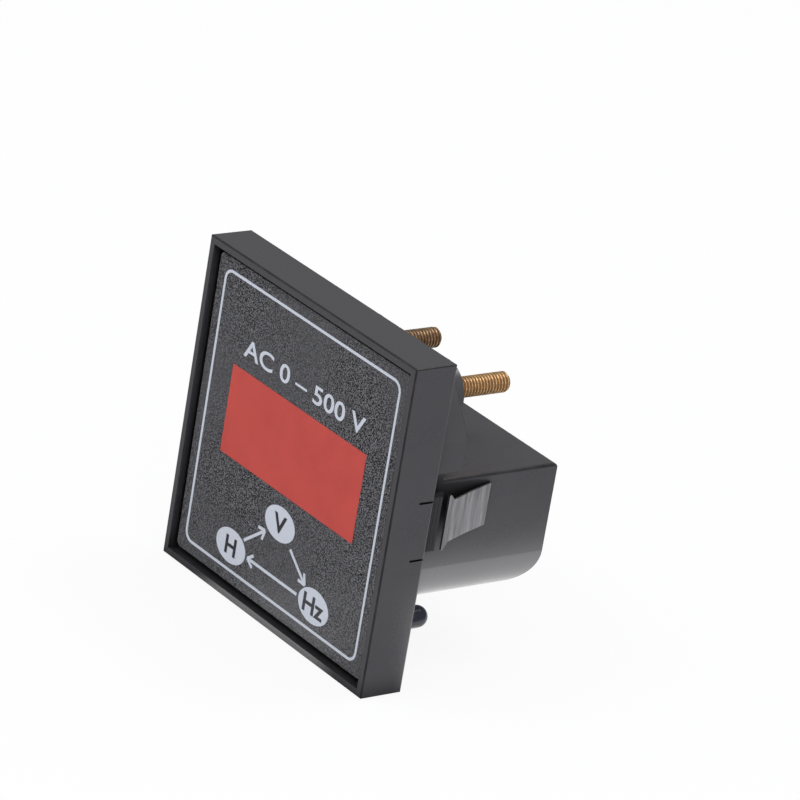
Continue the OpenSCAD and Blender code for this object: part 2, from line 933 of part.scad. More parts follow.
module lead() {
    sides = 12;
    levels = concat([lead_top], [for (i = [0:9])
        lead_bend[0] + (lead_bend[1] - lead_bend[0]) * i / 9], [power_top]);
    last = len(levels) - 1;
    points = [for (z = levels, a = [0:sides - 1])
        [lead_x + lead_d / 2 * cos(360 * a / sides),
         lead_path(z) + lead_d / 2 * sin(360 * a / sides), z]];
    color("#a33a34")
        polyhedron(points, concat(
            [[for (a = [0:sides - 1]) a]],
            [for (k = [0:last - 1], a = [0:sides - 1])
                [k * sides + a, (k + 1) * sides + a,
                 (k + 1) * sides + (a + 1) % sides, k * sides + (a + 1) % sides]],
            [[for (a = [sides - 1:-1:0]) last * sides + a]]));
}

module right_lead() {
    lead();
}

module left_lead() {
    mirror([1, 0, 0])
        lead();
}

// ---- clips and pegs ----

// a leaf of spring sheet that slopes out from the box to catch behind the panel
module spring_clip() {
    front_x = base_half + clip_stand;
    rear_x = box_half + 0.7;
    hook_x = box_inner - 0.6 - clip_t;
    lip_x = front_x - clip_lip_in;
    outer = [[front_x, clip_front], [lip_x, clip_front + clip_lip],
        [box_half + clip_crease_out, clip_crease], [rear_x, clip_foot + clip_t]];
    inner = [[rear_x - clip_t, clip_foot], [box_half + clip_crease_out - clip_t, clip_crease],
        [lip_x - clip_t, clip_front + clip_lip], [front_x - clip_t, clip_front]];
    color("#9a9a9e") {
        intersection() {
            along_z(-clip_head_w / 2, clip_head_w / 2)
                polygon(concat(outer, [[rear_x - clip_t, clip_foot + clip_t]], inner));
            along_x(0, bezel_size)
                polygon([
                    [clip_front - 1, -clip_head_w / 2], [clip_front, -clip_head_w / 2],
                    [clip_front + clip_lip + 0.4, -clip_w / 2], [clip_foot + 1, -clip_w / 2],
                    [clip_foot + 1, clip_w / 2], [clip_front + clip_lip + 0.4, clip_w / 2],
                    [clip_front, clip_head_w / 2], [clip_front - 1, clip_head_w / 2]]);
        }
        translate([hook_x, clip_foot, -clip_foot_w / 2])
            cube([rear_x - hook_x - clip_t / 2, clip_t, clip_foot_w]);
        translate([hook_x, clip_foot - 2, -clip_foot_w / 2])
            cube([clip_t, 2 + clip_t, clip_foot_w]);
    }
}

module right_clip() {
    spring_clip();
}

module left_clip() {
    mirror([1, 0, 0])
        spring_clip();
}

// a domed peg that snaps through the floor of the base
module locating_pegs() {
    color("#17181f")
        both_sides()
            translate([peg_x, 0, -peg_drop])
                rotate([-90, 0, 0]) {
                    translate([0, 0, spigot_h])
                        cylinder(h = peg_reach - spigot_h - peg_d / 2, d = peg_d);
                    translate([0, 0, peg_reach - peg_d / 2])
                        sphere(d = peg_d);
                    translate([0, 0, floor_front - 1])
                        cylinder(h = spigot_h - floor_front + 1.5, d = peg_shank_d);
                    translate([0, 0, floor_front - 1])
                        cylinder(h = 1, d1 = peg_shank_d, d2 = peg_shank_d + 0.8);
                }
}

bezel();
face_plate();
front_label();
label_print();
display_filter();
led_module();
led_segments();
display_board();
controller_chip();
chip_resistors();
board_screws();
board_header();
base();
power_board();
transformer_core();
transformer_bobbin();
transformer_winding();
bulk_capacitor();
output_capacitor();
film_capacitor();
bridge_rectifier();
fuse_resistor();
varistor();
left_stud();
right_stud();
stud_nuts();
lock_washers();
solder_tags();
left_lead();
right_lead();
left_clip();
right_clip();
locating_pegs();
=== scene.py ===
import json
import math

import bmesh
import bpy
from mathutils import Matrix, Vector


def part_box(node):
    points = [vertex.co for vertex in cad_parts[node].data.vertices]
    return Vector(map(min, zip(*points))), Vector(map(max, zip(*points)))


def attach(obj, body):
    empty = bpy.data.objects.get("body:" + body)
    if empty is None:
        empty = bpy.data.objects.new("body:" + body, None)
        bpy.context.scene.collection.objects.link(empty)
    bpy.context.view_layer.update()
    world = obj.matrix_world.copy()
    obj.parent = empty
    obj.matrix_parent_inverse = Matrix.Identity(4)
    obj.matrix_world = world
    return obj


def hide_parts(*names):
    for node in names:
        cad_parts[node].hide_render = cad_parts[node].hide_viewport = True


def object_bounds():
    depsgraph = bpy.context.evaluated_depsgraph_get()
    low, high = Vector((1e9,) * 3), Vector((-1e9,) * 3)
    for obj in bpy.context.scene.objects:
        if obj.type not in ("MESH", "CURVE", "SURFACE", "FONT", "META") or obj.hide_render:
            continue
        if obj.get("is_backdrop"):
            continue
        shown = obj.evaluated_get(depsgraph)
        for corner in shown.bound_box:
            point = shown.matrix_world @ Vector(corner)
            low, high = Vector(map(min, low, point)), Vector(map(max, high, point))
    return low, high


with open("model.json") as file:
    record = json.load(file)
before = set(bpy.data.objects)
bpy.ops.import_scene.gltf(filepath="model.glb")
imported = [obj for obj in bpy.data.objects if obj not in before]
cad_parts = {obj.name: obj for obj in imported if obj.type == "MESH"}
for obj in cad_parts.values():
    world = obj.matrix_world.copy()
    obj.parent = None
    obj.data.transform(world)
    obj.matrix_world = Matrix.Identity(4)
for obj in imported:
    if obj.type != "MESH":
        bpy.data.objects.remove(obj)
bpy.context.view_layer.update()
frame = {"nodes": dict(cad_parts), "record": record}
nodes = frame["nodes"]
mounts = {mount["name"]: mount for mount in frame["record"]["mounts"]}
mm = 0.001
raysPerPoint = 6   # for soft edges and hollows


# screen values from 0 to 255 become the linear colour that a shader socket takes
def screenColour(red, green, blue):
    def toLinear(value):
        value /= 255
        return value / 12.92 if value <= 0.04045 else ((value + 0.055) / 1.055) ** 2.4
    return (toLinear(red), toLinear(green), toLinear(blue), 1)


def newMaterial(name, colour, roughness, metallic=0.0, **sockets):
    material = bpy.data.materials.new(name)
    material.use_nodes = True
    shader = material.node_tree.nodes["Principled BSDF"]
    shader.inputs["Base Color"].default_value = colour
    shader.inputs["Roughness"].default_value = roughness
    shader.inputs["Metallic"].default_value = metallic
    for socket, value in sockets.items():
        shader.inputs[socket.replace("_", " ")].default_value = value
    return material, material.node_tree, shader


def addNode(tree, kind, values, **settings):
    node = tree.nodes.new("ShaderNode" + kind)
    for setting, value in settings.items():
        setattr(node, setting, value)
    for socket, value in values.items():
        if isinstance(value, bpy.types.NodeSocket):
            tree.links.new(value, node.inputs[socket])
        else:
            node.inputs[socket].default_value = value
    return node


# places on the piece, in metres; a stretch below 1 draws the pattern out along that axis
def place(tree, stretch=(1, 1, 1)):
    coordinate = addNode(tree, "TexCoord", {})
    mapped = addNode(tree, "Mapping", {"Vector": coordinate.outputs["Object"], "Scale": stretch})
    return mapped.outputs["Vector"]


# speckle of a given size in millimetres, from 0 to 1
def speckle(tree, size, detail=2.0, stretch=(1, 1, 1)):
    texture = addNode(tree, "TexNoise", {
        "Vector": place(tree, stretch), "Scale": 1 / (size * mm), "Detail": detail})
    return texture.outputs["Fac"]


def remap(tree, value, fromLow, fromHigh, toLow, toHigh):
    ranged = addNode(tree, "MapRange", {
        "Value": value, "From Min": fromLow, "From Max": fromHigh, "To Min": toLow, "To Max": toHigh})
    return ranged.outputs["Result"]


# the middle of a speckle, where nearly all of it lies, stretched to a range
def vary(tree, pattern, low, high):
    return remap(tree, pattern, 0.3, 0.7, low, high)


def math2(tree, operation, first, second=0.0):
    return addNode(tree, "Math", {0: first, 1: second}, operation=operation).outputs["Value"]


def mixColour(tree, factor, first, second):
    mixed = addNode(tree, "Mix", {"Factor": factor, "A": first, "B": second}, data_type="RGBA")
    return mixed.outputs["Result"]


# depth in millimetres of the relief that a 0 to 1 height gives
def relief(tree, shader, height, depth, normal=None):
    values = {"Height": height, "Distance": depth * mm, "Strength": 1.0}
    if normal is not None:
        values["Normal"] = normal
    bump = addNode(tree, "Bump", values)
    tree.links.new(bump.outputs["Normal"], shader.inputs["Normal"])


# a normal that rolls over sharp edges, as a moulded or sheared edge does
def softEdge(tree, radius):
    return addNode(tree, "Bevel", {"Radius": radius * mm}, samples=raysPerPoint).outputs["Normal"]


# 1 on the sharp edges and 0 on the faces between them
def edgeMask(tree, radius):
    normal = softEdge(tree, radius)
    geometry = addNode(tree, "NewGeometry", {})
    turned = addNode(tree, "VectorMath", {0: normal, 1: geometry.outputs["Normal"]},
                     operation="DOT_PRODUCT")
    return remap(tree, turned.outputs["Value"], 0.995, 0.86, 0.0, 1.0)


# 1 inside a box of the piece and 0 outside it, to tell a lead from a body
def boxMask(tree, low, high):
    middle = [(a + b) / 2 for a, b in zip(low, high)]
    half = [max((b - a) / 2, 1e-6) for a, b in zip(low, high)]
    coordinate = addNode(tree, "TexCoord", {})
    shifted = addNode(tree, "VectorMath", {0: coordinate.outputs["Object"], 1: middle},
                      operation="SUBTRACT")
    scaled = addNode(tree, "VectorMath", {0: shifted.outputs["Vector"], 1: half}, operation="DIVIDE")
    positive = addNode(tree, "VectorMath", {0: scaled.outputs["Vector"]}, operation="ABSOLUTE")
    parts = addNode(tree, "SeparateXYZ", {"Vector": positive.outputs["Vector"]})
    widest = math2(tree, "MAXIMUM", parts.outputs["X"], parts.outputs["Y"])
    widest = math2(tree, "MAXIMUM", widest, parts.outputs["Z"])
    return math2(tree, "LESS_THAN", widest, 1.0)


def dress(node, material):
    mesh = nodes[node].data
    mesh.materials.clear()
    mesh.materials.append(material)


# black moulding compound: a smooth skin over a fine spark grain, with painted shade in hollows and along
# edges
casePlastic = {
    "colour": screenColour(67, 66, 71),
    "cloud": screenColour(72, 71, 76),
    # painted shade: a dark colour laid on the moulded edges, standing in for the dark that rounded edges
    # reflect
    "edgeShade": screenColour(20, 19, 22),
    # painted shade: a near-black laid into hollows, where the surface is hemmed in
    "hollowShade": screenColour(14, 14, 16),
    "hollowShadeReach": 7.0,  # how deep a hollow has to be to take painted shade, mm
    "roughness": 0.3,
    "grain": 0.16,       # size of the grain, mm
    "grainDepth": 0.003,
    "edge": 0.14,        # radius of the moulded edges, mm
    "edgeDull": 0.4,     # how much rougher edges and hollows are
    "skin": 1.0,         # weight of the smooth skin
    "skinOnEdge": 0.2,
    "skinIor": 2.0,
    "skinRoughness": 0.17,
}


# 1 on the rolled edges inside a box, where the surface faces none of the three axes
def rolledMask(tree, low, high):
    geometry = addNode(tree, "NewGeometry", {})
    facing = addNode(tree, "VectorMath", {0: geometry.outputs["Normal"]}, operation="ABSOLUTE")
    parts = addNode(tree, "SeparateXYZ", {"Vector": facing.outputs["Vector"]})
    squarest = math2(tree, "MAXIMUM", parts.outputs["X"], parts.outputs["Y"])
    squarest = math2(tree, "MAXIMUM", squarest, parts.outputs["Z"])
    return math2(tree, "MULTIPLY", remap(tree, squarest, 0.995, 0.9, 0.0, 1.0), boxMask(tree, low, high))


def makeCasePlastic(name, settings, rolledBox):
    material, tree, shader = newMaterial(
        name, settings["colour"], settings["roughness"], Coat_Weight=settings["skin"],
        Coat_IOR=settings["skinIor"], Coat_Roughness=settings["skinRoughness"])
    cloud = speckle(tree, 14, 3)
    base = mixColour(tree, vary(tree, cloud, 0.0, 0.6), settings["colour"], settings["cloud"])
    patchy = speckle(tree, 4, 3)
    # painted shade along the edges: the edge mask darkens the colour there, in patches
    edge = math2(tree, "MAXIMUM", edgeMask(tree, settings["edge"]), rolledMask(tree, *rolledBox))
    edge = math2(tree, "MULTIPLY", edge, remap(tree, patchy, 0.35, 0.75, 0.75, 1.0))
    edgeShaded = mixColour(tree, edge, base, settings["edgeShade"])
    # painted shade: the colour goes toward near-black where ambient occlusion finds the surface hemmed in
    openness = addNode(tree, "AmbientOcclusion", {"Distance": settings["hollowShadeReach"] * mm},
                       samples=raysPerPoint).outputs["AO"]
    hollowShade = remap(tree, openness, 0.35, 0.85, 1.0, 0.0)
    tree.links.new(mixColour(tree, hollowShade, edgeShaded, settings["hollowShade"]), shader.inputs["Base Color"])
    fine = speckle(tree, settings["grain"], 2)
    handled = speckle(tree, 7, 4)
    rough = math2(tree, "ADD", vary(tree, fine, -0.04, 0.04),
                  vary(tree, handled, settings["roughness"] - 0.05, settings["roughness"] + 0.07))
    dulled = math2(tree, "MULTIPLY", math2(tree, "MAXIMUM", edge, hollowShade), settings["edgeDull"])
    tree.links.new(math2(tree, "ADD", rough, dulled), shader.inputs["Roughness"])
    tree.links.new(remap(tree, dulled, 0.0, settings["edgeDull"], settings["skin"], settings["skinOnEdge"]),
                   shader.inputs["Coat Weight"])
    relief(tree, shader, fine, settings["grainDepth"], softEdge(tree, settings["edge"]))
    return material


# printed film with a fine pebbled grain on a dark ground; its pale grains are a painted highlight, standing
# in for light caught on the grain tips
labelFilm = {
    "colour": screenColour(12, 12, 14),
    # the painted highlight colour of the grains
    "pale": screenColour(118, 118, 123),
    "roughness": 0.46,
    "stipple": 0.26,     # size of the grains, mm
    "stippleDepth": 0.02,
    "glintFade": 22.0,        # size of the patches where the painted grain highlights fade, mm
    "glintFadeLevel": 0.45,   # tone of those areas, between dark and pale
}


def makeLabelFilm(name, settings):
    material, tree, shader = newMaterial(name, settings["colour"], settings["roughness"])
    # painted highlight: pale grains mixed into the dark ground, faded in random patches
    stipple = speckle(tree, settings["stipple"], 1)
    crisp = remap(tree, stipple, 0.4, 0.66, 0.0, 1.0)
    kept = remap(tree, speckle(tree, settings["glintFade"], 1), 0.35, 0.6, 0.45, 1.0)
    glintFade = {"Factor": kept, "A": settings["glintFadeLevel"], "B": crisp}
    grains = addNode(tree, "Mix", glintFade).outputs["Result"]
    colour = mixColour(tree, grains, settings["colour"], settings["pale"])
    tree.links.new(colour, shader.inputs["Base Color"])
    rubbed = speckle(tree, 9, 3)
    tree.links.new(vary(tree, rubbed, settings["roughness"] - 0.06, settings["roughness"] + 0.06),
                   shader.inputs["Roughness"])
    relief(tree, shader, grains, settings["stippleDepth"])
    return material


# screen ink, matt, slightly uneven where the mesh of the screen left it
whiteInk = {"colour": screenColour(196, 202, 213), "thin": screenColour(170, 177, 189),
            "roughness": 0.5, "depth": 0.008}


def makeInk(name, settings):
    material, tree, shader = newMaterial(name, settings["colour"], settings["roughness"])
    mesh = speckle(tree, 0.22, 2)
    colour = mixColour(tree, remap(tree, mesh, 0.5, 0.8, 0.0, 0.7), settings["colour"], settings["thin"])
    tree.links.new(colour, shader.inputs["Base Color"])
    tree.links.new(vary(tree, mesh, settings["roughness"] - 0.08, settings["roughness"] + 0.08),
                   shader.inputs["Roughness"])
    relief(tree, shader, mesh, settings["depth"])
    return material


# frosted red window: light sinks in a little, and the frost breaks up the shine
redWindow = {
    "colour": screenColour(194, 72, 64),
    "deep": screenColour(184, 66, 60),
    "roughness": 0.48,
    "frost": 0.12,
    "frostDepth": 0.006,
}


def makeRedWindow(name, settings):
    material, tree, shader = newMaterial(
        name, settings["colour"], settings["roughness"], Subsurface_Weight=0.15,
        Subsurface_Scale=0.4 * mm, Subsurface_Radius=(1.0, 0.25, 0.2))
    clouds = speckle(tree, 6, 2)
    colour = mixColour(tree, remap(tree, clouds, 0.35, 0.7, 0.0, 0.8), settings["colour"], settings["deep"])
    tree.links.new(colour, shader.inputs["Base Color"])
    frost = speckle(tree, settings["frost"], 2)
    tree.links.new(vary(tree, frost, settings["roughness"] - 0.08, settings["roughness"] + 0.1),
                   shader.inputs["Roughness"])
    relief(tree, shader, frost, settings["frostDepth"])
    return material


# brass thread: bright on the crests, brown oil and dirt in the roots, tarnished in patches
threadMetal = {
    "crest": screenColour(255, 210, 152),
    "root": screenColour(150, 106, 68),
    "tarnish": screenColour(112, 104, 97),
    "roughness": 0.3,
    "rootRougher": 0.3,
    "bare": 0.68,        # share of bare metal, the rest being a dull oxide skin
    "dragDepth": 0.006,  # the die's drag marks
}


def makeThreadMetal(name, settings, axis, crestRadius, rootRadius, tarnish):
    material, tree, shader = newMaterial(name, settings["crest"], settings["roughness"], settings["bare"])
    coordinate = addNode(tree, "TexCoord", {})
    offset = addNode(tree, "VectorMath", {0: coordinate.outputs["Object"], 1: axis}, operation="SUBTRACT")
    flat = addNode(tree, "VectorMath", {0: offset.outputs["Vector"], 1: (1, 0, 1)}, operation="MULTIPLY")
    radius = addNode(tree, "VectorMath", {0: flat.outputs["Vector"]}, operation="LENGTH").outputs["Value"]
    height = remap(tree, radius, rootRadius, crestRadius, 0.0, 1.0)
    mottled = speckle(tree, 0.9, 3)
    bright = mixColour(tree, remap(tree, mottled, 0.35, 0.7, tarnish - 0.2, tarnish + 0.25),
                       settings["crest"], settings["tarnish"])
    colour = mixColour(tree, height, settings["root"], bright)
    tree.links.new(colour, shader.inputs["Base Color"])
    drag = speckle(tree, 0.12, 2, (1, 0.2, 1))
    rough = math2(tree, "ADD", remap(tree, height, 0.0, 1.0, settings["rootRougher"], 0.0),
                  vary(tree, drag, settings["roughness"] - 0.06, settings["roughness"] + 0.1))
    tree.links.new(rough, shader.inputs["Roughness"])
    relief(tree, shader, drag, settings["dragDepth"])
    return material


# cold-rolled spring sheet, drawn lines along its length
springSheet = {
    "colour": screenColour(150, 149, 154),
    "stain": screenColour(104, 103, 107),
    "roughness": 0.34,
    "lineDepth": 0.004,
    "edge": 0.06,
}


def makeSpringSheet(name, settings):
    material, tree, shader = newMaterial(name, settings["colour"], settings["roughness"], 1.0)
    lines = speckle(tree, 0.35, 3, (1, 1, 0.06))
    broad = speckle(tree, 2.2, 2, (1, 1, 0.1))
    colour = mixColour(tree, remap(tree, broad, 0.35, 0.7, 0.0, 0.8), settings["colour"], settings["stain"])
    tree.links.new(colour, shader.inputs["Base Color"])
    tree.links.new(vary(tree, lines, settings["roughness"] - 0.1, settings["roughness"] + 0.14),
                   shader.inputs["Roughness"])
    relief(tree, shader, lines, settings["lineDepth"], softEdge(tree, settings["edge"]))
    return material


# nylon, glossier than the case, with flow marks along the peg that carry a painted sheen, a paler colour
# standing in for light on it
pegPlastic = {
    "colour": screenColour(42, 43, 54),
    "paintedSheen": screenColour(66, 68, 80),
    "polished": 0.14,    # roughness where it is smoothest and dullest
    "dull": 0.3,
    "grainDepth": 0.003,
    "edge": 0.12,
}


def makePegPlastic(name, settings):
    material, tree, shader = newMaterial(name, settings["colour"], settings["polished"])
    flow = speckle(tree, 1.6, 3, (1, 0.4, 1))
    # painted sheen: paler streaks along the flow marks
    colour = mixColour(tree, remap(tree, flow, 0.4, 0.7, 0.0, 1.0), settings["colour"], settings["paintedSheen"])
    tree.links.new(colour, shader.inputs["Base Color"])
    tree.links.new(vary(tree, flow, settings["polished"], settings["dull"]), shader.inputs["Roughness"])
    relief(tree, shader, speckle(tree, 0.25, 2), settings["grainDepth"], softEdge(tree, settings["edge"]))
    return material


# zinc plate of the screws, nuts, washers and tags
zincPlate = {
    "colour": screenColour(196, 198, 204),
    "stain": screenColour(150, 152, 160),
    "roughness": 0.3,
    "scratch": 0.3,
    "scratchDepth": 0.004,
    "edge": 0.06,
}


def makeZincPlate(name, settings):
    material, tree, shader = newMaterial(name, settings["colour"], settings["roughness"], 1.0)
    patches = speckle(tree, 1.4, 3)
    stained = remap(tree, patches, 0.4, 0.75, 0.0, 0.8)
    colour = mixColour(tree, stained, settings["colour"], settings["stain"])
    tree.links.new(colour, shader.inputs["Base Color"])
    scratches = speckle(tree, settings["scratch"], 3)
    tree.links.new(vary(tree, scratches, settings["roughness"] - 0.08, settings["roughness"] + 0.12),
                   shader.inputs["Roughness"])
    relief(tree, shader, scratches, settings["scratchDepth"], softEdge(tree, settings["edge"]))
    return material


tinnedLead = {"colour": screenColour(205, 205, 208), "roughness": 0.3}
bodyEdge = 0.08   # radius of an inner body's edges, mm


# the box of a part's body: its whole box less a trim at the low and high end of each axis, for its leads
def bodyInside(node, trims):
    low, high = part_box(node)
    return ([a + trim[0] * mm for a, trim in zip(low, trims)],
            [b - trim[1] * mm for b, trim in zip(high, trims)])


# a moulded, lacquered or potted body, and tinned leads outside it where it has any
def makeBody(name, settings):
    material, tree, shader = newMaterial(name, settings["colour"], settings["roughness"])
    flow = speckle(tree, 2.5, 3)
    tint = mixColour(tree, remap(tree, flow, 0.35, 0.7, 0.0, 1.0), settings["colour"], settings["shade"])
    fine = speckle(tree, settings["grain"], 2)
    rough = vary(tree, fine, settings["roughness"] - 0.07, settings["roughness"] + 0.09)
    if "leads" in settings:
        body = bodyInside(settings["nodes"][0], settings["leads"])
        lead = math2(tree, "SUBTRACT", 1.0, boxMask(tree, *body))
        tint = mixColour(tree, lead, tint, tinnedLead["colour"])
        smoother = settings["roughness"] - tinnedLead["roughness"]
        rough = math2(tree, "SUBTRACT", rough, math2(tree, "MULTIPLY", lead, smoother))
        tree.links.new(lead, shader.inputs["Metallic"])
    tree.links.new(tint, shader.inputs["Base Color"])
    tree.links.new(rough, shader.inputs["Roughness"])
    relief(tree, shader, fine, settings["depth"], softEdge(tree, bodyEdge))
    return material


# glass-fibre board: green mask over copper runs, straw-coloured sawn edges
circuitBoard = {
    "mask": screenColour(26, 84, 56),
    "copper": screenColour(62, 128, 78),
    "sawn": screenColour(176, 168, 118),
    "roughness": 0.3,
    "sawnRoughness": 0.8,
    "runs": 1.9,         # spacing of the copper runs, mm
    "runGap": 0.16,
    "depth": 0.03,
}


def makeCircuitBoard(name, settings, facing):
    material, tree, shader = newMaterial(name, settings["mask"], settings["roughness"])
    turn = (math.pi / 2, 0, 0) if facing == "Y" else (0, 0, 0)
    coordinate = addNode(tree, "TexCoord", {})
    flat = addNode(tree, "Mapping", {"Vector": coordinate.outputs["Object"], "Rotation": turn})
    runs = addNode(tree, "TexBrick", {
        "Vector": flat.outputs["Vector"], "Scale": 1.0, "Mortar Size": settings["runGap"] * mm,
        "Mortar Smooth": 0.2, "Brick Width": settings["runs"] * 2.4 * mm,
        "Row Height": settings["runs"] * mm})
    copper = math2(tree, "MULTIPLY", runs.outputs["Fac"],
                   math2(tree, "GREATER_THAN", speckle(tree, 5, 1), 0.47))
    weave = speckle(tree, 0.5, 2)
    masked = mixColour(tree, copper, settings["mask"], settings["copper"])
    geometry = addNode(tree, "NewGeometry", {})
    parts = addNode(tree, "SeparateXYZ", {"Vector": geometry.outputs["Normal"]})
    face = math2(tree, "GREATER_THAN", math2(tree, "ABSOLUTE", parts.outputs[facing]), 0.5)
    tree.links.new(mixColour(tree, face, settings["sawn"], masked), shader.inputs["Base Color"])
    tree.links.new(remap(tree, face, 0.0, 1.0, settings["sawnRoughness"], settings["roughness"]),
                   shader.inputs["Roughness"])
    height = math2(tree, "ADD", copper, math2(tree, "MULTIPLY", weave, 0.3))
    relief(tree, shader, height, settings["depth"])
    return material


# shrink sleeve with a pale stripe down one side, over a scored aluminium can
can = {
    "metal": screenColour(196, 197, 200),
    "sleeveRoughness": 0.28,
    "stripeWide": 0.35,  # how far the stripe reaches in from one side, as a share of the radius
    "rim": 0.05,         # height of the bare metal at the top, mm
    "score": 0.15,       # half width of the scored cross, mm
    "scoreDepth": 0.15,
    "edge": 0.1,
}
sleeves = {
    "bulk_sleeve": {"node": "bulk_capacitor", "colour": screenColour(30, 32, 44),
                    "stripe": screenColour(150, 154, 160)},
    "output_sleeve": {"node": "output_capacitor", "colour": screenColour(24, 44, 84),
                      "stripe": screenColour(196, 196, 192)},
}


def makeCan(name, settings, sleeve):
    low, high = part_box(sleeve["node"])
    middle = (low + high) / 2
    material, tree, shader = newMaterial(name, sleeve["colour"], settings["sleeveRoughness"])
    coordinate = addNode(tree, "TexCoord", {})
    parts = addNode(tree, "SeparateXYZ", {"Vector": coordinate.outputs["Object"]})
    onTop = math2(tree, "GREATER_THAN", parts.outputs["Z"], high.z - settings["rim"] * mm)
    radius = (high.x - low.x) / 2
    striped = boxMask(tree, (low.x - mm, low.y - mm, low.z),
                      (low.x + radius * settings["stripeWide"], high.y + mm, high.z))
    dressed = mixColour(tree, striped, sleeve["colour"], sleeve["stripe"])
    tree.links.new(mixColour(tree, onTop, dressed, settings["metal"]), shader.inputs["Base Color"])
    tree.links.new(onTop, shader.inputs["Metallic"])
    fromAxis = addNode(tree, "Mapping", {
        "Vector": coordinate.outputs["Object"], "Location": (-middle.x, -middle.y, 0)})
    axisParts = addNode(tree, "SeparateXYZ", {"Vector": fromAxis.outputs["Vector"]})
    nearest = math2(tree, "MINIMUM", math2(tree, "ABSOLUTE", axisParts.outputs["X"]),
                    math2(tree, "ABSOLUTE", axisParts.outputs["Y"]))
    score = math2(tree, "MULTIPLY", onTop, math2(tree, "LESS_THAN", nearest, settings["score"] * mm))
    rough = settings["sleeveRoughness"]
    tree.links.new(vary(tree, speckle(tree, 0.8, 3), rough - 0.08, rough + 0.08),
                   shader.inputs["Roughness"])
    height = math2(tree, "SUBTRACT", math2(tree, "MULTIPLY", speckle(tree, 1.5, 2), 0.1), score)
    relief(tree, shader, height, settings["scoreDepth"], softEdge(tree, settings["edge"]))
    return material


# yellow tape wound in layers round the coil
windingTape = {
    "pale": screenColour(214, 180, 78),
    "dark": screenColour(176, 136, 42),
    "roughness": 0.34,
    "layer": 0.3,
    "layerDepth": 0.03,
    "edge": 0.15,
}


def makeWindingTape(name, settings):
    material, tree, shader = newMaterial(name, settings["pale"], settings["roughness"])
    layers = speckle(tree, settings["layer"], 2, (0.08, 0.08, 1))
    colour = mixColour(tree, remap(tree, layers, 0.35, 0.7, 0.0, 1.0), settings["pale"], settings["dark"])
    tree.links.new(colour, shader.inputs["Base Color"])
    relief(tree, shader, layers, settings["layerDepth"], softEdge(tree, settings["edge"]))
    return material


# the corners of a node's box, grown a little, to hold masks
def grown(node, by=1.0):
    low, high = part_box(node)
    return [a - by * mm for a in low], [b + by * mm for b in high]


# the base's moulded edges take the painted edge shade only in the band round the top of its box
edgeBand = {"boxTop": 5.8 * mm, "under": 0.85 * mm, "over": 0.1 * mm}
baseLow, baseHigh = grown("base")
bandLow = (baseLow[0], baseLow[1], edgeBand["boxTop"] - edgeBand["under"])
bandHigh = (baseHigh[0], baseHigh[1], edgeBand["boxTop"] + edgeBand["over"])
platePlastic = dict(casePlastic, colour=screenColour(50, 50, 54))

dress("bezel", makeCasePlastic("bezel_black", casePlastic, grown("bezel")))
dress("base", makeCasePlastic("base_black", casePlastic, (bandLow, bandHigh)))
dress("face_plate", makeCasePlastic("plate_grey", platePlastic, grown("face_plate")))
dress("front_label", makeLabelFilm("face_grey", labelFilm))
inkWhite = makeInk("white_ink", whiteInk)
dress("label_print", inkWhite)
dress("display_filter", makeRedWindow("red_filter", redWindow))
dress("display_board", makeCircuitBoard("display_circuit_board", circuitBoard, "Y"))
dress("power_board", makeCircuitBoard("power_circuit_board", circuitBoard, "Z"))
zincSteel = makeZincPlate("zinc_steel", zincPlate)
for node in ("board_screws", "stud_nuts", "lock_washers", "solder_tags"):
    dress(node, zincSteel)
dress("transformer_winding", makeWindingTape("winding_tape", windingTape))
for name, sleeve in sleeves.items():
    dress(sleeve["node"], makeCan(name, can, sleeve))
dress("locating_pegs", makePegPlastic("peg_black", pegPlastic))


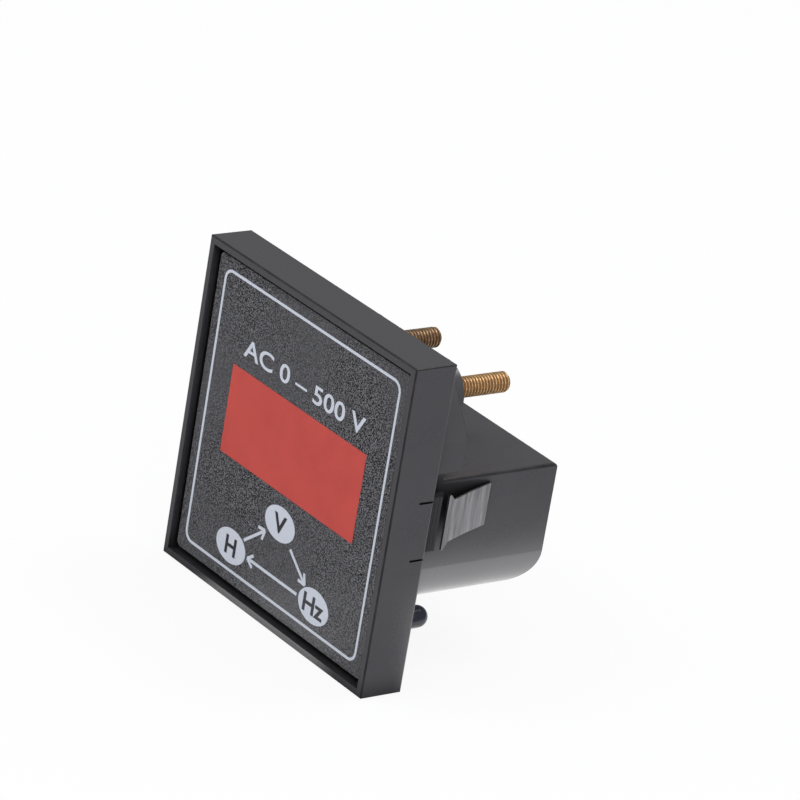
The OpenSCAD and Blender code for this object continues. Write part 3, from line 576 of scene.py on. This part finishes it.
# leads: how far the body's mask stops short of the part's low and high end on each axis, mm
allBody = (-9, -9)   # no leads on this axis
innerBodies = {
    "ferrite": {
        "nodes": ["transformer_core"], "colour": screenColour(66, 66, 70),
        "shade": screenColour(52, 52, 56), "roughness": 0.62, "grain": 0.14, "depth": 0.012},
    "lead_insulation": {
        "nodes": ["left_lead", "right_lead"], "colour": screenColour(168, 44, 40),
        "shade": screenColour(142, 36, 34), "roughness": 0.38, "grain": 0.3, "depth": 0.004},
    "display_body": {
        "nodes": ["led_module"], "colour": screenColour(196, 196, 192),
        "shade": screenColour(176, 176, 174), "roughness": 0.45, "grain": 0.2, "depth": 0.006,
        "leads": (allBody, (-9, 2.7), allBody)},
    "display_epoxy": {
        "nodes": ["led_segments"], "colour": screenColour(214, 120, 108),
        "shade": screenColour(196, 98, 90), "roughness": 0.4, "grain": 0.15, "depth": 0.004},
    "chip_black": {
        "nodes": ["controller_chip"], "colour": screenColour(44, 44, 46),
        "shade": screenColour(36, 36, 38), "roughness": 0.55, "grain": 0.12, "depth": 0.01,
        "leads": (allBody, allBody, (1.35, 1.35))},
    "resistor_black": {
        "nodes": ["chip_resistors"], "colour": screenColour(36, 36, 40),
        "shade": screenColour(28, 28, 30), "roughness": 0.4, "grain": 0.1, "depth": 0.004,
        "leads": (allBody, allBody, (0.35, 0.35))},
    "rectifier_black": {
        "nodes": ["bridge_rectifier"], "colour": screenColour(40, 40, 42),
        "shade": screenColour(32, 32, 34), "roughness": 0.5, "grain": 0.12, "depth": 0.01,
        "leads": (allBody, (0.75, 0.75), allBody)},
    "header_black": {
        "nodes": ["board_header"], "colour": screenColour(34, 34, 36),
        "shade": screenColour(26, 26, 28), "roughness": 0.5, "grain": 0.14, "depth": 0.006,
        "leads": (allBody, (3.2, 0.8), (2.5, 0.1))},
    "bobbin_black": {
        "nodes": ["transformer_bobbin"], "colour": screenColour(38, 38, 40),
        "shade": screenColour(30, 30, 32), "roughness": 0.5, "grain": 0.16, "depth": 0.008},
    "film_box": {
        "nodes": ["film_capacitor"], "colour": screenColour(212, 178, 58),
        "shade": screenColour(196, 158, 44), "roughness": 0.36, "grain": 0.2, "depth": 0.006},
    "resistor_lacquer": {
        "nodes": ["fuse_resistor"], "colour": screenColour(150, 66, 52),
        "shade": screenColour(126, 52, 42), "roughness": 0.34, "grain": 0.35, "depth": 0.02,
        "leads": ((1.4, 1.4), allBody, allBody)},
    "varistor_lacquer": {
        "nodes": ["varistor"], "colour": screenColour(44, 92, 150),
        "shade": screenColour(34, 76, 130), "roughness": 0.36, "grain": 0.5, "depth": 0.03,
        "leads": (allBody, allBody, (1.2, -9))},
}

for name, settings in innerBodies.items():
    material = makeBody(name, settings)
    for node in settings["nodes"]:
        dress(node, material)
print("solids dressed")


def pieceFrom(name, mesh, material, body, smoothAngle=40):
    mesh.materials.append(material)
    for face in mesh.polygons:
        face.use_smooth = True
    mesh.set_sharp_from_angle(angle=math.radians(smoothAngle))
    piece = bpy.data.objects.new(name, mesh)
    bpy.context.scene.collection.objects.link(piece)
    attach(piece, body)
    return piece


# rings of points, each the same length, joined into one closed skin
def skinRings(name, rings):
    shape = bmesh.new()
    rows = [[shape.verts.new(point) for point in ring] for ring in rings]
    count = len(rows[0])
    for front, back in zip(rows, rows[1:]):
        for i in range(count):
            shape.faces.new((front[i], front[(i + 1) % count], back[(i + 1) % count], back[i]))
    shape.faces.new(reversed(rows[0]))
    shape.faces.new(rows[-1])
    bmesh.ops.recalc_face_normals(shape, faces=shape.faces)
    mesh = bpy.data.meshes.new(name)
    shape.to_mesh(mesh)
    shape.free()
    return mesh


stud = {
    "pitch": 0.7 * mm,
    "threadDepth": 0.42 * mm,
    "crestShare": 0.2,           # shares of the pitch that are flat crest and flat root
    "rootShare": 0.16,
    "sides": 72,
    "rowsPerTurn": 12,
    "chamfer": 0.5 * mm,
    "shankRadius": 2.3 * mm,
    "shankBack": 16.25 * mm,     # where the plain shank leaves the boss
    "collarFront": 8.4 * mm,     # the hexagonal collar that the moulding grips
    "collarThick": 3.0 * mm,
    "collarFlats": 7.0 * mm,
    # how tarnished each stud is, and where its thread starts as a share of a turn
    "finish": {"left": {"tarnish": 0.75, "start": 0.3}, "right": {"tarnish": 0.2, "start": 0.0}},
}


# radius of the thread at one place along the stud and round it, with its ends chamfered
def threadRadius(settings, crest, along, turn, ends):
    phase = (along / settings["pitch"] - turn) % 1.0
    flank = (1 - settings["crestShare"] - settings["rootShare"]) / 2
    fromCrest = abs(phase - 0.5) - settings["crestShare"] / 2
    drop = min(max(fromCrest / flank, 0), 1)
    drop = drop * drop * (3 - 2 * drop)
    radius = crest - settings["threadDepth"] * drop
    low, high = ends
    chamfered = crest - settings["chamfer"] + min(along - low, high - along)
    return min(radius, chamfered)


# the middle of a terminal's pin and its radius, as the frame states them
def pinOf(mountName):
    mount = mounts[mountName]
    return Vector(mount["pos_m"]), mount["dims"]["r_mm"] * mm


def buildStud(side, settings, finish):
    axis, crest = pinOf(side + "_terminal")
    metal = makeThreadMetal(side + "_stud_brass", threadMetal, axis, crest,
                            crest - settings["threadDepth"], finish["tarnish"])
    low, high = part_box(side + "_stud")
    collarBack = settings["collarFront"] + settings["collarThick"]
    step = settings["pitch"] / settings["rowsPerTurn"]

    def threadRows(start, end):
        count = math.ceil((end - start) / step)
        return [("thread", start + (end - start) * i / count) for i in range(count + 1)]

    rows = threadRows(low.y, settings["collarFront"])
    rows += [("collar", settings["collarFront"]), ("collar", collarBack)]
    rows += [("shank", collarBack), ("shank", settings["shankBack"])]
    rows += threadRows(settings["shankBack"], high.y)
    rings = []
    for kind, along in rows:
        ring = []
        for i in range(settings["sides"]):
            turn = i / settings["sides"]
            angle = 2 * math.pi * turn
            if kind == "thread":
                radius = threadRadius(settings, crest, along, turn + finish["start"], (low.y, high.y))
            elif kind == "shank":
                radius = settings["shankRadius"]
            else:
                toFlat = math.radians(math.degrees(angle) % 60 - 30)
                radius = settings["collarFlats"] / 2 / math.cos(toFlat)
            ring.append((axis.x + radius * math.cos(angle), along, axis.z + radius * math.sin(angle)))
        rings.append(ring)
    mesh = skinRings(side + "_threaded_stud", rings)
    piece = pieceFrom(side + "_threaded_stud", mesh, metal, "case", 50)
    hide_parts(side + "_stud")


for side, finish in stud["finish"].items():
    buildStud(side, stud, finish)
print("studs threaded")


clip = {
    # all in millimetres; the route is the middle of the sheet from its front lip to its inner hook, out
    # from the axis and back from the panel, and each bend has its radius
    "route": [(30.6, 4.9), (30.1, 6.3), (27.9, 11.95), (25.72, 18.4), (22.8, 18.4), (22.8, 16.2)],
    "bends": [0, 1.2, 3, 0.5, 0.4, 0],
    "foot": 3,               # the point of the route where the leaf turns in as the foot
    "footFrom": 0.45,        # how far in from that point the narrow foot starts
    "thick": 0.36,
    "headHalf": 6.0,         # half widths
    "leafHalf": 4.2,
    "footHalf": 3.0,
    "flareEnd": 6.7,         # where the flared head has narrowed to the leaf
    "cornerRound": 0.7,
    "rowsAcross": 12,
}


# the corners of a route rounded off into arcs
def roundedRoute(points, radii, stepsPerBend=6):
    places = [Vector(point) for point in points]
    route = [places[0]]
    for before, corner, after, radius in zip(places, places[1:], places[2:], radii[1:]):
        intoBend = (before - corner).normalized()
        outOfBend = (after - corner).normalized()
        half = intoBend.angle(outOfBend) / 2
        reach = radius / math.tan(half)
        middle = corner + (intoBend + outOfBend).normalized() * (radius / math.sin(half))
        start = corner + intoBend * reach - middle
        end = corner + outOfBend * reach - middle
        for i in range(stepsPerBend + 1):
            route.append(middle + start.slerp(end, i / stepsPerBend).normalized() * radius)
    route.append(places[-1])
    return route


# flared at the front lip, with round corners, then the leaf, then the narrow foot
def clipHalfWidth(settings, back, out):
    if out < settings["route"][settings["foot"]][0] - settings["footFrom"]:
        return settings["footHalf"]
    front = settings["route"][0][1]
    share = min(max((back - front) / (settings["flareEnd"] - front), 0), 1)
    width = settings["headHalf"] + (settings["leafHalf"] - settings["headHalf"]) * share
    inCorner = settings["cornerRound"] - (back - front)
    if inCorner > 0:
        radius = settings["cornerRound"]
        width -= radius - math.sqrt(max(radius ** 2 - inCorner ** 2, 0))
    return width


# more points along the straight stretches, so that the width can change between them
def denseRoute(route, longest=0.35):
    dense = [route[0]]
    for start, end in zip(route, route[1:]):
        count = max(1, math.ceil((end - start).length / longest))
        dense += [start.lerp(end, i / count) for i in range(1, count + 1)]
    return dense


def buildClip(side, mirror, settings, material):
    route = denseRoute(roundedRoute(settings["route"], settings["bends"]))
    rings = []
    for i, point in enumerate(route):
        ahead = route[min(i + 1, len(route) - 1)] - route[max(i - 1, 0)]
        normal = Vector((ahead.y, -ahead.x)).normalized() * settings["thick"] / 2
        half = clipHalfWidth(settings, point.y, point.x)
        across = [half * (2 * k / settings["rowsAcross"] - 1) for k in range(settings["rowsAcross"] + 1)]
        outer = [(point + normal, z) for z in across]
        inner = [(point - normal, z) for z in reversed(across)]
        rings.append([(mirror * p.x * mm, p.y * mm, z * mm) for p, z in outer + inner])
    mesh = skinRings(side + "_clip_leaf", rings)
    piece = pieceFrom(side + "_clip_leaf", mesh, material, side + "_clip", 35)
    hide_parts(side + "_clip")


springSteel = makeSpringSheet("spring_steel", springSheet)
for side, mirror in (("left", -1), ("right", 1)):
    buildClip(side, mirror, clip, springSteel)
print("clips bent")


# lettering set flat on the face, each word fitted into its box there, in millimetres
lettering = {
    "title": {"words": "AC 0 – 500 V", "left": -18.7, "right": 19.6, "bottom": 13.7, "top": 17.3,
              "boldness": 0.012},
    # one word on each oval, at the oval's middle
    "signs": {"V": {"middle": (0, -12.3), "width": 3.9}, "H": {"middle": (-13.45, -22.9), "width": 3.4},
              "Hz": {"middle": (13.45, -22.9), "width": 6.3}},
    "signHeight": 3.7,
    "signBoldness": 0.02,
    "inkThick": 0.05,
}


def wordMesh(name, words, width, height, boldness):
    curve = bpy.data.curves.new(name, "FONT")
    curve.body = words
    curve.offset = boldness
    curve.resolution_u = 6
    draft = bpy.data.objects.new(name, curve)
    bpy.context.scene.collection.objects.link(draft)
    bpy.context.view_layer.update()
    mesh = bpy.data.meshes.new_from_object(draft)
    bpy.data.objects.remove(draft)
    low = Vector([min(v.co[i] for v in mesh.vertices) for i in range(3)])
    high = Vector([max(v.co[i] for v in mesh.vertices) for i in range(3)])
    scale = (width / (high.x - low.x), height / (high.y - low.y))
    for vertex in mesh.vertices:
        vertex.co = ((vertex.co.x - (low.x + high.x) / 2) * scale[0],
                     (vertex.co.y - (low.y + high.y) / 2) * scale[1], 0)
    return mesh


# stands flat letters up on the face and gives them the thickness of the ink
def printWords(name, words, middle, size, faceY, boldness, material):
    mesh = wordMesh(name, words, size[0] * mm, size[1] * mm, boldness)
    shape = bmesh.new()
    shape.from_mesh(mesh)
    shape.transform(Matrix.Rotation(math.pi / 2, 4, "X"))
    shape.transform(Matrix.Translation((middle[0] * mm, faceY, middle[1] * mm)))
    lifted = bmesh.ops.extrude_face_region(shape, geom=shape.faces[:])
    moved = [item for item in lifted["geom"] if isinstance(item, bmesh.types.BMVert)]
    bmesh.ops.translate(shape, verts=moved, vec=(0, -lettering["inkThick"] * mm, 0))
    bmesh.ops.recalc_face_normals(shape, faces=shape.faces)
    shape.to_mesh(mesh)
    shape.free()
    return pieceFrom(name, mesh, material, "case", 30)


title = lettering["title"]
printWords("title_marking", title["words"],
           ((title["left"] + title["right"]) / 2, (title["bottom"] + title["top"]) / 2),
           (title["right"] - title["left"], title["top"] - title["bottom"]),
           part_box("front_label")[0].y, title["boldness"], inkWhite)

darkInk = dict(whiteInk, colour=screenColour(52, 53, 58), thin=screenColour(70, 71, 76))
signInk = makeInk("sign_ink", darkInk)
for words, sign in lettering["signs"].items():
    printWords("sign_" + words, words, sign["middle"], (sign["width"], lettering["signHeight"]),
               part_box("label_print")[0].y, lettering["signBoldness"], signInk)
print("face lettered")


# a white sheet under the meter, in a room whose walls are white to look at and dimmer in a reflection
studio = {
    "white": (1.0, 1.0, 1.0, 1),
    "floorColour": screenColour(240, 240, 243),
    "floorRoughness": 0.6,
    "floorGlow": 0.9,          # share of plain white that the camera sees in the floor
    "floorReach": 3.0,
    "sheetSide": 62 * mm,      # half width of the sheet
    "sheetFront": 26 * mm,     # how far in front of the panel its middle reaches
    "sheetSlope": 0.834,       # how fast its front edge draws back to either side
    "sideBlur": 4 * mm,        # how softly its edges end
    "frontBlur": 3 * mm,
    "worldLevel": 0.72,        # light from the walls on dull surfaces
    "dimmedWalls": 0.14,       # what a polished surface sees of the walls and of the floor past the sheet
    "dimmedFloor": 0.13,
}


# how much plain white a ray sees: one level from the camera or through glass, one off a polished surface
def whiteSeen(tree, polishedLevel, cameraLevel=1.0):
    path = addNode(tree, "LightPath", {})
    polished = math2(tree, "MULTIPLY", path.outputs["Is Glossy Ray"], polishedLevel)
    seen = math2(tree, "MAXIMUM", path.outputs["Is Camera Ray"], path.outputs["Is Transmission Ray"])
    return math2(tree, "MAXIMUM", math2(tree, "MULTIPLY", seen, cameraLevel), polished)


# 1 on the sheet and the dimmed level round it
def sheetLevel(tree, settings):
    coordinate = addNode(tree, "TexCoord", {})
    parts = addNode(tree, "SeparateXYZ", {"Vector": coordinate.outputs["Object"]})
    out = math2(tree, "ABSOLUTE", parts.outputs["X"])
    side, blur = settings["sheetSide"], settings["sideBlur"]
    beside = remap(tree, out, side - blur, side + blur, 1.0, 0.0)
    back = math2(tree, "SUBTRACT", parts.outputs["Y"], math2(tree, "MULTIPLY", out, settings["sheetSlope"]))
    front, blur = settings["sheetFront"], settings["frontBlur"]
    behind = remap(tree, back, -front - blur, -front + blur, 0.0, 1.0)
    return remap(tree, math2(tree, "MULTIPLY", beside, behind), 0.0, 1.0, settings["dimmedFloor"], 1.0)


def makeFloor(settings):
    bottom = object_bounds()[0].z
    reach = settings["floorReach"]
    corners = [(x * reach, y * reach, bottom) for x, y in ((-1, -1), (1, -1), (1, 1), (-1, 1))]
    mesh = bpy.data.meshes.new("floor")
    mesh.from_pydata(corners, [], [(0, 1, 2, 3)])
    material = bpy.data.materials.new("floor_white")
    material.use_nodes = True
    tree = material.node_tree
    shader = tree.nodes["Principled BSDF"]
    shader.inputs["Base Color"].default_value = settings["floorColour"]
    shader.inputs["Roughness"].default_value = settings["floorRoughness"]
    glow = addNode(tree, "Emission", {
        "Color": settings["white"], "Strength": whiteSeen(tree, sheetLevel(tree, settings))})
    share = whiteSeen(tree, 1.0, settings["floorGlow"])
    mixed = addNode(tree, "MixShader", {0: share, 1: shader.outputs["BSDF"], 2: glow.outputs["Emission"]})
    tree.links.new(mixed.outputs["Shader"], tree.nodes["Material Output"].inputs["Surface"])
    mesh.materials.append(material)
    floor = bpy.data.objects.new("floor", mesh)
    bpy.context.scene.collection.objects.link(floor)
    floor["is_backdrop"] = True


def makeWorld(settings):
    world = bpy.data.worlds.new("studio_white")
    bpy.context.scene.world = world
    world.use_nodes = True
    tree = world.node_tree
    background = tree.nodes["Background"]
    background.inputs["Color"].default_value = settings["white"]
    path = addNode(tree, "LightPath", {})
    lit = math2(tree, "MULTIPLY", path.outputs["Is Diffuse Ray"], settings["worldLevel"])
    strength = math2(tree, "MAXIMUM", lit, whiteSeen(tree, settings["dimmedWalls"]))
    tree.links.new(strength, background.inputs["Strength"])


# soft boxes, each aimed at the middle of the meter
softBoxes = {
    "key": {"from": (-0.35, -0.9, 0.95), "size": 0.8, "power": 5.5},
    "fill": {"from": (1.0, -0.25, 0.4), "size": 0.7, "power": 3.2},
    "top": {"from": (0.1, 0.5, 1.1), "size": 0.45, "power": 3.0},
}


def makeSoftBox(name, settings, target):
    lamp = bpy.data.lights.new(name, "AREA")
    lamp.shape = "SQUARE"
    lamp.size = settings["size"]
    lamp.energy = settings["power"]
    holder = bpy.data.objects.new(name, lamp)
    bpy.context.scene.collection.objects.link(holder)
    holder.location = settings["from"]
    holder.rotation_euler = (target - holder.location).to_track_quat("-Z", "Y").to_euler()


view = {
    "azimuth": 50.16,        # degrees round from straight in front, toward the reader's right
    "elevation": 22.02,
    "roll": 9.7,
    "distance": 0.924,
    "aim": (-0.0004, 0.0156, 0.0097),
    "lens": 224.8,
    "sensor": 36,
    "nearest": 0.05,
}


def makeCamera(settings):
    azimuth = math.radians(settings["azimuth"])
    elevation = math.radians(settings["elevation"])
    away = Vector((math.sin(azimuth) * math.cos(elevation), -math.cos(azimuth) * math.cos(elevation),
                   math.sin(elevation)))
    camera = bpy.data.cameras.new("view")
    camera.lens = settings["lens"]
    camera.sensor_width = settings["sensor"]
    camera.clip_start = settings["nearest"]
    holder = bpy.data.objects.new("view", camera)
    bpy.context.scene.collection.objects.link(holder)
    turned = (-away).to_track_quat("-Z", "Y").to_matrix().to_4x4()
    turned = turned @ Matrix.Rotation(math.radians(settings["roll"]), 4, "Z")
    holder.matrix_world = Matrix.Translation(Vector(settings["aim"]) + away * settings["distance"]) @ turned
    bpy.context.scene.camera = holder


makeFloor(studio)
makeWorld(studio)
low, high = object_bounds()
for name, settings in softBoxes.items():
    makeSoftBox("softbox_" + name, settings, (low + high) / 2)
makeCamera(view)
bpy.context.scene.view_settings.view_transform = "Standard"
print("studio lit")
